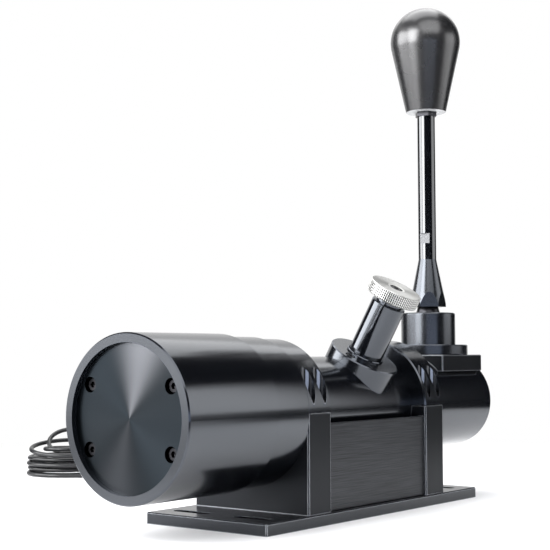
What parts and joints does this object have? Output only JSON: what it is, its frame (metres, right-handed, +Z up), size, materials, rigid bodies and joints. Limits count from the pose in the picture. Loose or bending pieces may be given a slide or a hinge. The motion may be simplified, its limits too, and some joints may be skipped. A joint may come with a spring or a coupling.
{
  "type": "sim racing gear shifter",
  "caption": "Desk-mounted gear shifter: tapered ball knob on a rod in a ball pivot, long tube in split clamps on a slotted base plate, front gate drum, knurled adjuster and coiled cable.",
  "frame": {"origin": "middle of the base plate's underside", "axes": "+X to the driver's right, +Y along the tube from the drum towards the lever, +Z up"},
  "size_m": [0.3733, 0.386, 0.3283],
  "materials": {
    "anodised": "black anodised, satin",
    "base_paint": "black anodised, matt",
    "panel": "dark brushed metal",
    "disc": "turned dark metal, concentric grain",
    "aluminium": "bare, knurled and turned",
    "black_steel": "black oxide",
    "steel": "ground",
    "spring_steel": "drawn wire",
    "acetal": "natural acetal",
    "brass": "machined",
    "circuit_board": "green solder mask",
    "chip": "moulded black",
    "cable": "black flexible jacket",
    "plug_metal": "nickel plated"
  },
  "bodies": {
    "frame": {"base_plate": "base_paint", "foot_screws": "black_steel", "front_stand": "base_paint", "rear_stand": "base_paint", "front_clamp_cap": "anodised", "rear_clamp_cap": "anodised", "clamp_screws": "black_steel", "right_side_panel": "panel", "left_side_panel": "panel", "centre_tube": "anodised", "rear_plug": "anodised", "shaft_bushes": "acetal", "drum_ring": "anodised", "drum_cup": "anodised", "end_disc": "disc", "end_disc_screws": "black_steel", "gate_ring": "acetal", "saddle_block": "anodised", "lever_flange": "anodised", "flange_screws": "black_steel", "lever_collar": "anodised", "lower_ball_seat": "acetal", "upper_ball_seat": "acetal", "centring_spring": "spring_steel", "adjuster_saddle": "anodised", "saddle_screws": "black_steel", "adjuster_barrel": "anodised", "barrel_ring": "anodised", "plunger_spring": "spring_steel", "circuit_boards": "circuit_board", "board_posts": "brass", "board_parts": "chip", "inner_wires": "cable", "cable_gland": "cable", "gland_nut": "cable", "cable_lead": "cable", "cable_coil": "cable", "cable_tail": "cable", "usb_plug": "chip", "usb_shell": "plug_metal"},
    "sway_pin": {"cross_pin": "steel"},
    "lever": {"pivot_arm": "black_steel", "lever_base": "anodised", "lever_rod": "anodised", "lock_nut": "black_steel", "shift_knob": "anodised", "knob_insert": "brass"},
    "guide": {"guide_sleeve": "acetal"},
    "shaft": {"selector_shaft": "steel", "shaft_yoke": "steel", "yoke_screw": "black_steel", "shaft_collars": "steel", "gate_hub": "steel", "gate_pin": "steel", "shaft_magnet": "plug_metal"},
    "dial": {"adjuster_dial": "aluminium", "adjuster_spindle": "steel", "dial_screw": "black_steel"},
    "seat": {"spring_seat": "brass"},
    "plunger_body": {"plunger": "acetal"}
  },
  "joints": [
    {"name": "lever_sway", "type": "hinge", "parent": "frame", "child": "sway_pin", "pos_m": [0, 0.1215, 0.107], "axis": [0, 1, 0], "range_deg": [-6, 6], "stiffness_Nm_per_rad": 6},
    {"name": "lever_shift", "type": "hinge", "parent": "sway_pin", "child": "lever", "pos_m": [0, 0.1215, 0.107], "axis": [1, 0, 0], "range_deg": [-9, 9]},
    {"name": "shaft_slide", "type": "slide", "parent": "frame", "child": "guide", "axis": [0, 1, 0], "range_m": [-0.005, 0.005]},
    {"name": "shaft_turn", "type": "hinge", "parent": "guide", "child": "shaft", "pos_m": [0, 0.0176, 0.0604], "axis": [0, 1, 0], "range_deg": [-12.3, 12.3]},
    {"name": "dial_turn", "type": "hinge", "parent": "frame", "child": "dial", "pos_m": [0, 0.0176, 0.0604], "axis": [0.497, 0, 0.8678], "range_deg": [-360, 360]},
    {"name": "seat_travel", "type": "slide", "parent": "frame", "child": "seat", "axis": [0.497, 0, 0.8678], "range_m": [-0.001, 0.001]},
    {"name": "plunger_lift", "type": "slide", "parent": "frame", "child": "plunger_body", "axis": [0.497, 0, 0.8678], "range_m": [0, 0.002], "stiffness_N_per_m": 3000, "springref_m": -0.004, "deforming": ["plunger_spring"]}
  ],
  "couplings": [
    {"joint": "shaft_slide", "follows": "lever_shift", "m_per_rad": 0.0316},
    {"joint": "shaft_turn", "follows": "lever_sway", "ratio": -2.033},
    {"joint": "seat_travel", "follows": "dial_turn", "m_per_rad": 0.00015915}
  ]
}
